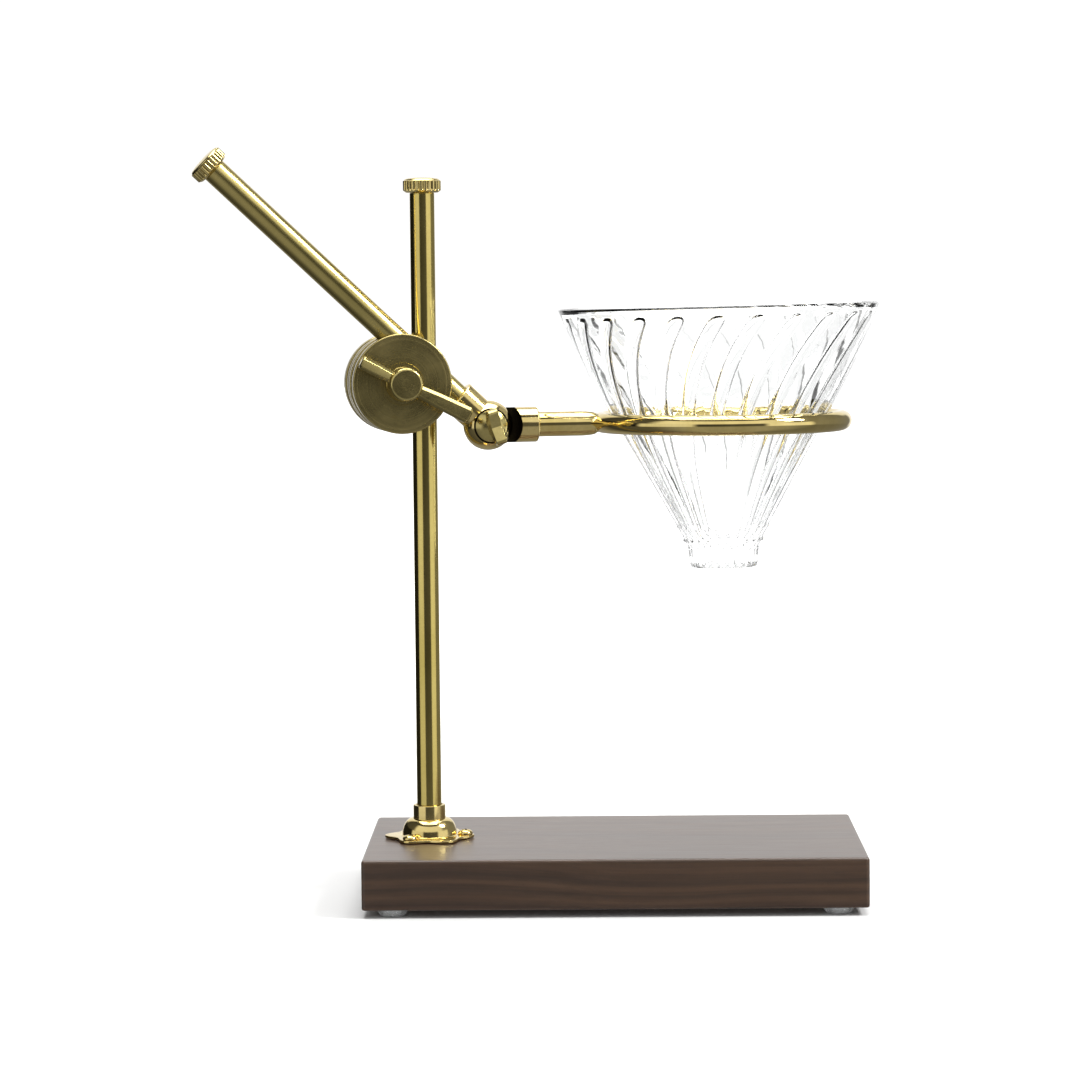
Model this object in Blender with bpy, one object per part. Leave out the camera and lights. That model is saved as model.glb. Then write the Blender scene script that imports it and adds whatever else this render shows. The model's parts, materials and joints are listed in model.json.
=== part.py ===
"""Pour over dripper stand: walnut base, brass post, two-rod clamp with a wing lever, knuckle, holder ring and glass dripper.

Metres, +Z up. The origin is the middle of the whole footprint, on the surface that the feet stand on.
-Y is the front of the base. Lengths in the constants are millimetres and angles are degrees.
"""
import bpy
import bmesh
from math import sin, cos, pi, radians, sqrt
from mathutils import Matrix, Vector

MM = 0.001

# ---------------------------------------------------------------- driving dimensions
ORIGIN_X = -26.401             # middle of the footprint, measured from the middle of the base
ORIGIN_Y = 12.446

BASE_L, BASE_D, BASE_T = 190.5, 101.6, 19.05
BASE_EDGE = 1.2
FOOT_R, FOOT_H = 5.75, 2.7
FOOT_X, FOOT_Y = 84.0, 43.6
FIT = 0.3                     # gap between neighbours

TUBE_R, TUBE_BORE_R = 4.7625, 3.75
POST_X = -71.8                # post axis, on the base's centre line
POST_TOP = 272.0
CAP_R, CAP_H, CAP_SPIGOT = 7.3, 5.8, 7.0
CAP_FLUTES = 24

FLANGE_TIP_R, FLANGE_WAIST_R, FLANGE_T = 17.4, 14.2, 1.1
BELL_R, BELL_H = 10.55, 6.6
COLLAR_R, COLLAR_H = 6.25, 5.3
SCREW_PITCH_R = 13.9
SCREW_HEAD_R, SCREW_HEAD_H, SCREW_R, SCREW_L = 2.9, 1.8, 1.45, 10.0

CLAMP_YAW = 12.5              # the clamp faces a little towards the right
CLAMP_Z = 199.45              # height of the clamp bolt
ROD_OFFSET = 11.25            # bolt axis to each rod axis
ROD_GAP = 11.5                # post axis to arm axis, along the bolt
DISC_R = 19.05
JAW = 4.0                     # open gap between the two discs that grip a rod
OUTER_T, INNER_T = 4.2, 3.6
BOLT_R = 3.0
BOLT_HEAD_AF, BOLT_HEAD_H = 10.0, 4.0

LEVER_ANGLE = 27.3
LEVER_HUB_R, LEVER_HUB_H = 6.3, 9.6
LEVER_LONG, LEVER_SHORT = 26.9, 19.4
LEVER_SWEEP = 13.0

ARM_TILT = 43.3               # the arm falls towards the ring
ARM_TAIL = -106.4             # cap face, from the foot of the bolt's perpendicular
BALL_AT = 36.0                # knuckle centre along the arm
BALL_R = 9.55
RELIEF_R = 11.3
RING_RELIEF_R = 12.3
ARM_COLLAR_R, ARM_COLLAR_L = 6.8, 16.3
RING_COLLAR_R, RING_COLLAR_L = 6.75, 19.2
KEY_HEAD_R, KEY_SEAT = 6.1, 6.3
KEY_W, KEY_T, KEY_OUT = 13.8, 3.4, 19.6
KEY_ANGLE = -17.0

RING_AT = 92.2                # knuckle centre to ring centre
RING_RC, RING_R = 47.0, 3.9
RING_TWIST = -0.4
STEM_R = 4.7625

GLASS_LEAN = 0.9
GLASS_WALL = 2.7
GLASS_TOP, GLASS_FOOT = 44.9, -56.8      # heights above and below the ring's plane

# ---------------------------------------------------------------- clean start
for old in list(bpy.data.objects):
    bpy.data.objects.remove(old, do_unlink=True)

# ---------------------------------------------------------------- materials


def material(name, colour, rough, metal=0.0, transmission=0.0):
    m = bpy.data.materials.new(name)
    m.use_nodes = True
    b = m.node_tree.nodes["Principled BSDF"]
    b.inputs["Base Color"].default_value = (*colour, 1.0)
    b.inputs["Roughness"].default_value = rough
    b.inputs["Metallic"].default_value = metal
    b.inputs["Transmission Weight"].default_value = transmission
    return m


BRASS = (0.72, 0.52, 0.18)
BRASS_TURNED = (0.55, 0.42, 0.17)
BRASS_BRIGHT = (0.85, 0.66, 0.28)
WALNUT = (0.085, 0.045, 0.028)

# ---------------------------------------------------------------- helpers


def put(bm, name, parent, loc=(0, 0, 0), rot=(0, 0, 0), colour=BRASS, rough=0.2, metal=1.0, transmission=0.0, guide=False):
    """Turns a bmesh in millimetres into a placed object."""
    bmesh.ops.remove_doubles(bm, verts=bm.verts, dist=1e-4)
    bmesh.ops.dissolve_degenerate(bm, edges=bm.edges, dist=1e-5)
    bmesh.ops.recalc_face_normals(bm, faces=bm.faces)
    bmesh.ops.scale(bm, vec=(MM, MM, MM), verts=bm.verts)
    me = bpy.data.meshes.new(name)
    bm.to_mesh(me)
    bm.free()
    ob = bpy.data.objects.new(name, me)
    bpy.context.scene.collection.objects.link(ob)
    ob.parent = parent
    ob.location = [c * MM for c in loc]
    ob.rotation_euler = [radians(a) for a in rot]
    if guide:
        ob.hide_render = True
        ob.display_type = 'WIRE'
    else:
        me.materials.append(material(name + "_finish", colour, rough, metal, transmission))
        me.shade_smooth()
        me.set_sharp_from_angle(angle=radians(32))
    return ob


def empty(name, parent, loc=(0, 0, 0), rot=(0, 0, 0)):
    e = bpy.data.objects.new(name, None)
    bpy.context.scene.collection.objects.link(e)
    e.parent = parent
    e.location = [c * MM for c in loc]
    e.rotation_euler = [radians(a) for a in rot]
    return e


def turned(profile, segs, closed=True):
    """Spins a profile of (radius, height) points about Z into a solid."""
    bm = bmesh.new()
    vs = [bm.verts.new((r, 0.0, z)) for r, z in profile]
    es = [bm.edges.new((a, b)) for a, b in zip(vs, vs[1:])]
    if closed:
        es.append(bm.edges.new((vs[-1], vs[0])))
    bmesh.ops.spin(bm, geom=vs + es, cent=(0, 0, 0), axis=(0, 0, 1), angle=2 * pi, steps=segs, use_merge=True)
    bmesh.ops.remove_doubles(bm, verts=bm.verts, dist=1e-4)
    bmesh.ops.dissolve_degenerate(bm, edges=bm.edges, dist=1e-5)
    return bm


def rod(r, z0, z1, segs=32, chamfer=0.0):
    if chamfer:
        return turned([(0, z0), (r - chamfer, z0), (r, z0 + chamfer), (r, z1 - chamfer), (r - chamfer, z1), (0, z1)], segs, False)
    return turned([(0, z0), (r, z0), (r, z1), (0, z1)], segs, False)


def block(x0, x1, y0, y1, z0, z1):
    bm = bmesh.new()
    bmesh.ops.create_cube(bm, size=1.0)
    bmesh.ops.scale(bm, vec=(x1 - x0, y1 - y0, z1 - z0), verts=bm.verts)
    bmesh.ops.translate(bm, vec=((x0 + x1) / 2, (y0 + y1) / 2, (z0 + z1) / 2), verts=bm.verts)
    return bm


def prism(outline, z0, z1):
    """Extrudes a closed XY outline from z0 to z1."""
    bm = bmesh.new()
    vs = [bm.verts.new((x, y, z0)) for x, y in outline]
    f = bm.faces.new(vs)
    out = bmesh.ops.extrude_face_region(bm, geom=[f])
    bmesh.ops.translate(bm, vec=(0, 0, z1 - z0), verts=[g for g in out["geom"] if isinstance(g, bmesh.types.BMVert)])
    return bm


def boolean(ob, tool, op='DIFFERENCE'):
    m = ob.modifiers.new(op.lower() + "_" + tool.name, 'BOOLEAN')
    m.operation = op
    m.solver = 'EXACT'
    m.object = tool
    return m


def bevel(ob, width, segments=2, angle=35):
    m = ob.modifiers.new("edge", 'BEVEL')
    m.width = width * MM
    m.segments = segments
    m.limit_method = 'ANGLE'
    m.angle_limit = radians(angle)
    m.use_clamp_overlap = True
    return m


def arc(cx, cz, r, a0, a1, n):
    """Points on an arc, degrees, in (radius, height)."""
    return [(cx + r * cos(radians(a0 + (a1 - a0) * i / n)), cz + r * sin(radians(a0 + (a1 - a0) * i / n))) for i in range(n + 1)]


# ---------------------------------------------------------------- base and feet
stand = empty("stand_frame", None, (-ORIGIN_X, -ORIGIN_Y, 0))
BASE_Z = FOOT_H + FIT
TOP_Z = BASE_Z + BASE_T

base = put(block(-BASE_L / 2, BASE_L / 2, -BASE_D / 2, BASE_D / 2, BASE_Z, TOP_Z), "walnut_base", stand,
           colour=WALNUT, rough=0.45, metal=0.0)
bevel(base, BASE_EDGE, 2)

foot_profile = [(0, 0), (3.4, 0), (4.7, 0.45), (5.5, 1.35), (FOOT_R, FOOT_H), (0, FOOT_H)]
for label, sx, sy in (("front_left", -1, -1), ("front_right", 1, -1), ("rear_left", -1, 1), ("rear_right", 1, 1)):
    put(turned(foot_profile, 24, False), "foot_" + label, stand, (sx * FOOT_X, sy * FOOT_Y, 0),
        colour=(0.8, 0.82, 0.82), rough=0.15, metal=0.0, transmission=0.8)

# ---------------------------------------------------------------- flange and its screws
PLATE_Z0 = TOP_Z + FIT
PLATE_Z1 = PLATE_Z0 + FLANGE_T
BELL_Z1 = PLATE_Z1 + BELL_H
COLLAR_Z1 = BELL_Z1 + COLLAR_H


def lobed(n):
    mid, amp = (FLANGE_TIP_R + FLANGE_WAIST_R) / 2, (FLANGE_TIP_R - FLANGE_WAIST_R) / 2
    pts = []
    for i in range(n):
        t = 2 * pi * i / n
        r = mid + amp * cos(6 * t)
        pts.append((r * cos(t), r * sin(t)))
    return pts


flange = put(prism(lobed(48), PLATE_Z0, PLATE_Z1), "base_flange", stand, (POST_X, 0, 0), colour=BRASS_BRIGHT, rough=0.12)
bell_profile = [(0, PLATE_Z0 + 0.2), (BELL_R, PLATE_Z0 + 0.2)]
for i in range(7):
    t = i / 6 * pi / 2
    bell_profile.append((COLLAR_R + (BELL_R - COLLAR_R) * cos(t) ** 0.9 if i < 6 else COLLAR_R, PLATE_Z1 + 0.4 + (BELL_H - 0.4) * sin(t)))
bell_profile += [(COLLAR_R, COLLAR_Z1 - 0.5), (COLLAR_R - 0.5, COLLAR_Z1), (0, COLLAR_Z1)]
bell = put(turned(bell_profile, 40, False), "bell_guide", stand, (POST_X, 0, 0), guide=True)
boolean(flange, bell, 'UNION')
socket = put(rod(TUBE_R + FIT, PLATE_Z0 + 2.0, COLLAR_Z1 + 5, 36), "socket_guide", stand, (POST_X, 0, 0), guide=True)
boolean(flange, socket)

HEAD_Z0 = PLATE_Z1 + 0.25
for k in range(3):
    a = radians(120 * k)
    x, y = POST_X + SCREW_PITCH_R * cos(a), SCREW_PITCH_R * sin(a)
    head = [(0, HEAD_Z0 - SCREW_L), (0.5, HEAD_Z0 - SCREW_L), (SCREW_R, HEAD_Z0 - SCREW_L + 2.2), (SCREW_R, HEAD_Z0), (SCREW_HEAD_R, HEAD_Z0),
            (SCREW_HEAD_R, HEAD_Z0 + 0.5), (2.45, HEAD_Z0 + 1.15), (1.5, HEAD_Z0 + 1.62), (0, HEAD_Z0 + SCREW_HEAD_H)]
    screw = put(turned(head, 20, False), "flange_screw_%d" % (k + 1), stand, (x, y, 0), colour=BRASS_BRIGHT, rough=0.18)
    for j, turn in enumerate((20 + 35 * k, 110 + 35 * k)):
        slot = put(block(-1.5, 1.5, -0.35, 0.35, HEAD_Z0 + 0.75, HEAD_Z0 + 3), "recess_guide_%d_%d" % (k + 1, j), stand, (x, y, 0), (0, 0, turn), guide=True)
        boolean(screw, slot)
    hole = put(rod(SCREW_R + FIT, HEAD_Z0 - SCREW_L - 0.6, HEAD_Z0 + 1, 16), "pilot_guide_%d" % (k + 1), stand, (x, y, 0), guide=True)
    boolean(flange, hole)
    boolean(base, hole)

# ---------------------------------------------------------------- post and cap


def tube(length, segs=32):
    c = 0.3
    return turned([(TUBE_BORE_R, 0), (TUBE_R - c, 0), (TUBE_R, c), (TUBE_R, length - c), (TUBE_R - c, length), (TUBE_BORE_R, length)], segs)


def knurled_cap():
    """A fluted end cap: a spigot below z=0, a fluted band, and a shallow crowned top."""
    n = 2 * CAP_FLUTES
    bm = bmesh.new()
    levels = [(-CAP_SPIGOT, 3.0, 0), (-CAP_SPIGOT + 0.5, 3.45, 0), (0.0, 3.45, 0), (0.0, 6.1, 0), (0.75, CAP_R - 0.25, 0), (0.95, CAP_R, 1),
              (4.35, CAP_R, 1), (4.55, CAP_R - 0.25, 0), (5.25, 6.3, 0), (CAP_H, 3.4, 0)]
    rings = []
    for z, r, fluted in levels:
        ring = []
        for i in range(n):
            t = 2 * pi * i / n
            rr = r - (0.42 if fluted and i % 2 else 0.0)
            ring.append(bm.verts.new((rr * cos(t), rr * sin(t), z)))
        rings.append(ring)
    for a, b in zip(rings, rings[1:]):
        for i in range(n):
            j = (i + 1) % n
            bm.faces.new((a[i], a[j], b[j], b[i]))
    bm.faces.new(list(reversed(rings[0])))
    bm.faces.new(rings[-1])
    return bm


POST_FOOT = PLATE_Z0 + 2.3
post = empty("post_axis", stand, (POST_X, 0, POST_FOOT))
put(tube(POST_TOP - POST_FOOT), "post_tube", post, rough=0.16)
put(knurled_cap(), "post_cap", post, (0, 0, POST_TOP - POST_FOOT + FIT), colour=BRASS_BRIGHT, rough=0.22)

# ---------------------------------------------------------------- clamp: post side
# The clamp frame sits on the bolt axis, level with the post axis; its +Y runs back along the bolt.
yaw = radians(CLAMP_YAW)
clamp = empty("clamp_frame", stand, (POST_X - ROD_OFFSET * cos(yaw), -ROD_OFFSET * sin(yaw), CLAMP_Z), (0, 0, CLAMP_YAW))
# The arm frame sits on the bolt axis, level with the arm axis; its +X runs down along the arm.
arm = empty("arm_frame", clamp, (0, -ROD_GAP, 0), (0, ARM_TILT, 0))


def disc(r, t, front_edge, back_edge, segs=48):
    """A turned disc from z=0 (back) to z=t (front), with a bolt hole."""
    h = BOLT_R + FIT
    return turned([(h, 0), (r - back_edge, 0), (r, back_edge), (r, t - front_edge), (r - front_edge, t), (h, t)], segs)


post_groove = put(rod(TUBE_R + 0.28, -60, 60, 32), "post_groove_guide", clamp, (ROD_OFFSET, 0, 0), guide=True)
arm_groove = put(rod(TUBE_R + 0.28, -60, 60, 32), "arm_groove_guide", arm, (0, 0, ROD_OFFSET), (0, 90, 0), guide=True)

back_disc = put(disc(DISC_R, OUTER_T, 0.4, 0.9), "clamp_back_disc", clamp, (0, JAW / 2 + OUTER_T, 0), (90, 0, 0), BRASS_TURNED, 0.3)
boolean(back_disc, post_groove)
post_disc = put(disc(DISC_R, INNER_T, 0.4, 0.4), "clamp_post_disc", clamp, (0, -JAW / 2, 0), (90, 0, 0), BRASS_TURNED, 0.3)
boolean(post_disc, post_groove)
arm_disc = put(disc(DISC_R, INNER_T, 0.4, 0.4), "clamp_arm_disc", arm, (0, JAW / 2 + INNER_T, 0), (90, 0, 0), BRASS_TURNED, 0.3)
boolean(arm_disc, arm_groove)
front_disc = put(disc(DISC_R, OUTER_T, 0.9, 0.4), "clamp_front_disc", arm, (0, -JAW / 2, 0), (90, 0, 0), BRASS_TURNED, 0.3)
boolean(front_disc, arm_groove)

FACE_Y = -(ROD_GAP + JAW / 2 + OUTER_T)        # front face of the front disc, in the clamp frame
bolt_tip = -FACE_Y + FIT + LEVER_HUB_H - 2.6
back_y = JAW / 2 + OUTER_T + FIT
hexagon = [(BOLT_HEAD_AF / sqrt(3) * cos(pi / 3 * i), BOLT_HEAD_AF / sqrt(3) * sin(pi / 3 * i)) for i in range(6)]
bolt = put(prism(hexagon, -back_y - BOLT_HEAD_H, -back_y), "clamp_bolt", clamp, (0, 0, 0), (90, 0, 0), BRASS, 0.25)
bevel(bolt, 0.5, 1)
shank = put(rod(BOLT_R, -back_y - 1.0, bolt_tip, 24, 0.5), "shank_guide", clamp, (0, 0, 0), (90, 0, 0), guide=True)
boolean(bolt, shank, 'UNION')

# ---------------------------------------------------------------- wing lever
# Built with +Z towards the front; X runs along the bar.
lever_frame = empty("lever_axis", clamp, (0, FACE_Y - FIT, 0), (0, LEVER_ANGLE, 0))


def lever_bar():
    """One chamfered bar lofted through both tips and the hub, bent forward towards the tips."""
    bm = bmesh.new()
    rise = sin(radians(LEVER_SWEEP))
    stations = [(-LEVER_SHORT, 3.9, 3.4), (-LEVER_SHORT + 0.8, 5.2, 4.6), (-LEVER_SHORT * 0.55, 4.9, 5.0), (-4.5, 4.4, 5.4), (4.5, 4.4, 5.4),
                (LEVER_LONG * 0.5, 5.6, 5.0), (LEVER_LONG - 0.9, 6.3, 4.6), (LEVER_LONG, 5.0, 3.4)]
    loops = []
    for x, w, t in stations:
        zc = 4.9 + max(0.0, abs(x) - 4.5) * rise
        c = 1.05
        hw, ht = w / 2, t / 2
        pts = [(-hw, -ht + c), (-hw, ht - c), (-hw + c, ht), (hw - c, ht), (hw, ht - c), (hw, -ht + c), (hw - c, -ht), (-hw + c, -ht)]
        loops.append([bm.verts.new((x, y, zc + z)) for y, z in pts])
    for a, b in zip(loops, loops[1:]):
        for i in range(8):
            j = (i + 1) % 8
            bm.faces.new((a[i], b[i], b[j], a[j]))
    bm.faces.new(loops[0])
    bm.faces.new(list(reversed(loops[-1])))
    return bm


H = LEVER_HUB_H
lever = put(turned([(0, 0), (LEVER_HUB_R + 0.35, 0), (LEVER_HUB_R + 0.35, 0.8), (LEVER_HUB_R, 1.3), (LEVER_HUB_R, H - 0.9), (LEVER_HUB_R - 0.25, H - 0.3),
                    (LEVER_HUB_R - 0.9, H), (0, H)], 40, False), "wing_lever", lever_frame, (0, 0, 0), (90, 0, 0), BRASS_TURNED, 0.24)
bar = put(lever_bar(), "lever_bar_guide", lever_frame, (0, 0, 0), (90, 0, 0), guide=True)
boolean(lever, bar, 'UNION')
lever_hole = put(rod(BOLT_R + FIT, -3, H - 2.2, 24), "lever_hole_guide", lever_frame, (0, 0, 0), (90, 0, 0), guide=True)
boolean(lever, lever_hole)

# ---------------------------------------------------------------- arm
ARM_SOCKET = BALL_AT - ARM_COLLAR_L
ARM_END = ARM_SOCKET + 4.6
arm_axis = empty("arm_axis", arm, (ARM_TAIL, 0, ROD_OFFSET), (0, 90, 0))
put(tube(ARM_END - ARM_TAIL), "arm_tube", arm_axis, rough=0.2)
put(knurled_cap(), "arm_end_cap", arm_axis, (0, 0, -FIT), (180, 0, 0), BRASS_BRIGHT, 0.22)

# ---------------------------------------------------------------- knuckle
# +X is the arm's direction in this frame; the pivot screw runs along Y, its key at the front.
knuckle = empty("knuckle_axis", arm, (BALL_AT, 0, ROD_OFFSET))
# +X is the stem's direction in this frame.
ring_frame = empty("ring_frame", knuckle, (0, 0, 0), (0, -ARM_TILT, 0))


def ball(segs=36):
    n = 12
    pts = [(BALL_R * cos(pi / 2 * (2 * i / n - 1)) if 0 < i < n else 0.0, BALL_R * sin(pi / 2 * (2 * i / n - 1))) for i in range(n + 1)]
    return turned(pts, segs, False)


half_front = put(ball(), "arm_knuckle_half", knuckle, (0, 0, 0), (90, 0, 0), BRASS_BRIGHT, 0.14)
arm_collar = put(rod(ARM_COLLAR_R, -ARM_COLLAR_L, -1.0, 36, 0.5), "arm_collar_guide", knuckle, (0, 0, 0), (0, 90, 0), guide=True)
boolean(half_front, arm_collar, 'UNION')
# behind the middle plane everything inside the relief radius belongs to the other half
rear_relief = put(rod(RELIEF_R, -20, 0.15, 48), "rear_relief_guide", knuckle, (0, 0, 0), (90, 0, 0), guide=True)
boolean(half_front, rear_relief)
arm_socket = put(rod(TUBE_R + FIT, -ARM_COLLAR_L - 5, -ARM_COLLAR_L + 4.9, 32), "arm_socket_guide", knuckle, (0, 0, 0), (0, 90, 0), guide=True)
boolean(half_front, arm_socket)
seat = put(rod(KEY_HEAD_R + FIT, KEY_SEAT, 20, 32), "key_seat_guide", knuckle, (0, 0, 0), (90, 0, 0), guide=True)
boolean(half_front, seat)
pivot_hole = put(rod(2.3, -6.6, 20, 20), "pivot_hole_guide", knuckle, (0, 0, 0), (90, 0, 0), guide=True)
boolean(half_front, pivot_hole)

half_rear = put(ball(), "ring_knuckle_half", ring_frame, (0, 0, 0), (90, 0, 0), BRASS_BRIGHT, 0.14)
ring_collar = put(rod(RING_COLLAR_R, 1.0, RING_COLLAR_L, 36, 0.5), "ring_collar_guide", ring_frame, (0, 0, 0), (0, 90, 0), guide=True)
boolean(half_rear, ring_collar, 'UNION')
front_relief = put(rod(RING_RELIEF_R, -0.15, 20, 48), "front_relief_guide", ring_frame, (0, 0, 0), (90, 0, 0), guide=True)
boolean(half_rear, front_relief)
stem_socket = put(rod(STEM_R + FIT, RING_COLLAR_L - 5.6, RING_COLLAR_L + 5, 32), "stem_socket_guide", ring_frame, (0, 0, 0), (0, 90, 0), guide=True)
boolean(half_rear, stem_socket)
boolean(half_rear, pivot_hole)

# thumb key: a domed head that completes the ball, a flat paddle, and the pivot screw
key_frame = empty("key_axis", knuckle, (0, 0, 0), (0, -ARM_TILT, 0))
dome = [(0, KEY_SEAT + FIT), (KEY_HEAD_R, KEY_SEAT + FIT)]
a0 = 50.2
dome += [(BALL_R * cos(radians(a0 + (90 - a0) * i / 5)) if i < 5 else 0.0, BALL_R * sin(radians(a0 + (90 - a0) * i / 5))) for i in range(6)]
key = put(turned(dome, 32, False), "knuckle_screw", key_frame, (0, 0, 0), (90, 0, 0), BRASS_TURNED, 0.22)
paddle_pts = []
for sx, k0 in ((1, 0), (-1, 1)):
    pts = [(2.6, BALL_R - 1.4), (2.9, BALL_R + 0.8), (KEY_W / 2 - 0.4, BALL_R + 4.0), (KEY_W / 2, BALL_R + 6.0), (KEY_W / 2 - 0.5, KEY_OUT - 0.6), (KEY_W / 2 - 2.2, KEY_OUT), (1.6, KEY_OUT - 0.8)]
    pts = [(sx * x, z) for x, z in pts]
    paddle_pts += pts if k0 == 0 else list(reversed(pts))
paddle = put(prism(paddle_pts, -KEY_T / 2, KEY_T / 2), "paddle_guide", key_frame, (0, 0, 0), (0, KEY_ANGLE - 90, 0), guide=True)
paddle.data.transform(Matrix(((1, 0, 0, 0), (0, 0, -1, 0), (0, 1, 0, 0), (0, 0, 0, 1))))
paddle.data.transform(Matrix.Rotation(radians(90), 4, 'X'))
boolean(key, paddle, 'UNION')
screw_shank = put(rod(2.0, -6.2, KEY_SEAT + 1, 20, 0.4), "pivot_guide", key_frame, (0, 0, 0), (90, 0, 0), guide=True)
boolean(key, screw_shank, 'UNION')

# ---------------------------------------------------------------- holder ring
level = empty("ring_level", ring_frame, (0, 0, 0), (RING_TWIST, 0, 0))


def torus(rc, r, n, m, x0=0.0):
    pts = [(rc + r * cos(2 * pi * (i + 0.5) / m), r * sin(2 * pi * (i + 0.5) / m)) for i in range(m)]
    bm = turned(pts, n)
    bmesh.ops.translate(bm, vec=(x0, 0, 0), verts=bm.verts)
    return bm


put(torus(RING_RC, RING_R, 60, 12), "holder_ring", level, (RING_AT, 0, 0), colour=BRASS_BRIGHT, rough=0.1)
stem_end = RING_AT - RING_RC - 0.6
stem = put(rod(STEM_R, RING_COLLAR_L - 5.3, stem_end, 32, 0.3), "ring_stem", level, (0, 0, 0), (0, 90, 0), BRASS_BRIGHT, 0.12)
saddle = put(torus(RING_RC, RING_R + FIT, 60, 12), "saddle_guide", level, (RING_AT, 0, 0), guide=True)
boolean(stem, saddle)

# ---------------------------------------------------------------- glass dripper
# Heights run from the ring's plane; the cone's outside rests on the ring.
dripper = empty("dripper_seat", level, (RING_AT, 0, 0), (0, -GLASS_LEAN, 0))


def glass_radius(z):
    """Outer radius of the glass at a height above the ring's plane."""
    knots = [(GLASS_FOOT, 13.0), (-52.0, 13.1), (-49.0, 13.6), (-46.5, 14.9), (-42.0, 17.3), (-30.0, 23.8), (-15.0, 32.2), (0.0, 40.7), (4.0, 43.0),
             (10.0, 46.4), (18.0, 50.4), (26.0, 54.2), (34.0, 57.9), (40.0, 60.6), (GLASS_TOP - 1.2, 62.0), (GLASS_TOP, 62.3)]
    for (z0, r0), (z1, r1) in zip(knots, knots[1:]):
        if z <= z1:
            return r0 + (r1 - r0) * (z - z0) / (z1 - z0)
    return knots[-1][1]


heights = [GLASS_FOOT, -52, -49, -46.5, -38, -26, -13, 0, 4, 12, 22, 32, 40, GLASS_TOP - 1.0]
outer = [(glass_radius(z), z) for z in heights]
rim = [(glass_radius(GLASS_TOP) - 0.5, GLASS_TOP), (glass_radius(GLASS_TOP) - 2.0, GLASS_TOP)]
inner = [(glass_radius(z) - GLASS_WALL, z + (1.0 if z > -46 else 0.0)) for z in reversed(heights[1:-1])]
foot = [(glass_radius(GLASS_FOOT) - GLASS_WALL, GLASS_FOOT)]
put(turned(outer + rim + [(glass_radius(GLASS_TOP) - 2.6, GLASS_TOP - 0.8)] + inner + foot, 44), "glass_dripper", dripper,
    colour=(0.95, 0.97, 0.97), rough=0.03, metal=0.0, transmission=1.0)
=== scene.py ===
"""Looks of the pour over dripper stand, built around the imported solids."""

import bpy
import bmesh
import json
import numpy as np
from math import sin, cos, pi, radians, sqrt
from mathutils import Matrix, Vector


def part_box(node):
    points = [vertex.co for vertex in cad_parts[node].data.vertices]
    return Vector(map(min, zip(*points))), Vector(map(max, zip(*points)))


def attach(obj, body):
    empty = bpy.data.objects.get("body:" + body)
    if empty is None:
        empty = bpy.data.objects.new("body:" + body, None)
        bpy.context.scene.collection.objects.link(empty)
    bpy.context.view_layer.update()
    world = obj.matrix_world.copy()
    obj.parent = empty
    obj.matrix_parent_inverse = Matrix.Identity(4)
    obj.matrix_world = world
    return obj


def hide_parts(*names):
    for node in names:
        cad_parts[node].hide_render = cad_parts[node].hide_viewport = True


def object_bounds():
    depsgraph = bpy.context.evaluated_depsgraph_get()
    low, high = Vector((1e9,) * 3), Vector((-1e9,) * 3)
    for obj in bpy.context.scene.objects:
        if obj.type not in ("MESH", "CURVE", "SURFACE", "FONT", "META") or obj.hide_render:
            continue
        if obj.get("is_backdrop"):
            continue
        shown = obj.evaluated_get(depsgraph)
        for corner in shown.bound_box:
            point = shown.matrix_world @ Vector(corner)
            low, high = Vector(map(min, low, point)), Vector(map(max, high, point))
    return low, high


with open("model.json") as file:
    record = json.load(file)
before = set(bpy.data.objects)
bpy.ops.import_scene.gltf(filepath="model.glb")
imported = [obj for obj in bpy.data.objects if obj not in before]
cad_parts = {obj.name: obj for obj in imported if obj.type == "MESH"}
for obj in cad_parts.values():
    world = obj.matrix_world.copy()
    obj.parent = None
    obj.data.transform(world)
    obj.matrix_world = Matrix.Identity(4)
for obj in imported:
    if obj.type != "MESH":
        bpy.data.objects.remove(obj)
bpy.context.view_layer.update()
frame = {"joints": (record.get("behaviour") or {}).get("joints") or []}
MM = 0.001
J = {j["name"]: j for j in frame["joints"]}

# ------------------------------------------------------------------ places, from the frame
T = Matrix.Translation


def R(axis, deg):
    return Matrix.Rotation(radians(deg), 4, axis)


def at(x, y, z):
    return T(Vector((x, y, z)) * MM)


def box(node):
    lo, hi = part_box(node)
    return lo / MM, hi / MM


FIT = 0.3
post_xy = Vector(J["post_swivel"]["pos_m"]) / MM
bolt_at = Vector(J["arm_tilt"]["pos_m"]) / MM
ball_at = Vector(J["ring_tilt"]["pos_m"]) / MM
e2 = Vector(J["arm_tilt"]["axis"])
YAW = np.degrees(np.arctan2(-e2.x, e2.y))
d_arm = Vector(J["arm_reach"]["axis"])
ARM_TILT = np.degrees(np.arcsin(-d_arm.z))
ROD_OFFSET, ROD_GAP = 11.25, 11.5
BALL_AT = 36.0
RING_AT, RING_RC, RING_R, RING_TWIST, GLASS_LEAN = 92.2, 47.0, 3.9, -0.4, 0.9

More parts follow.
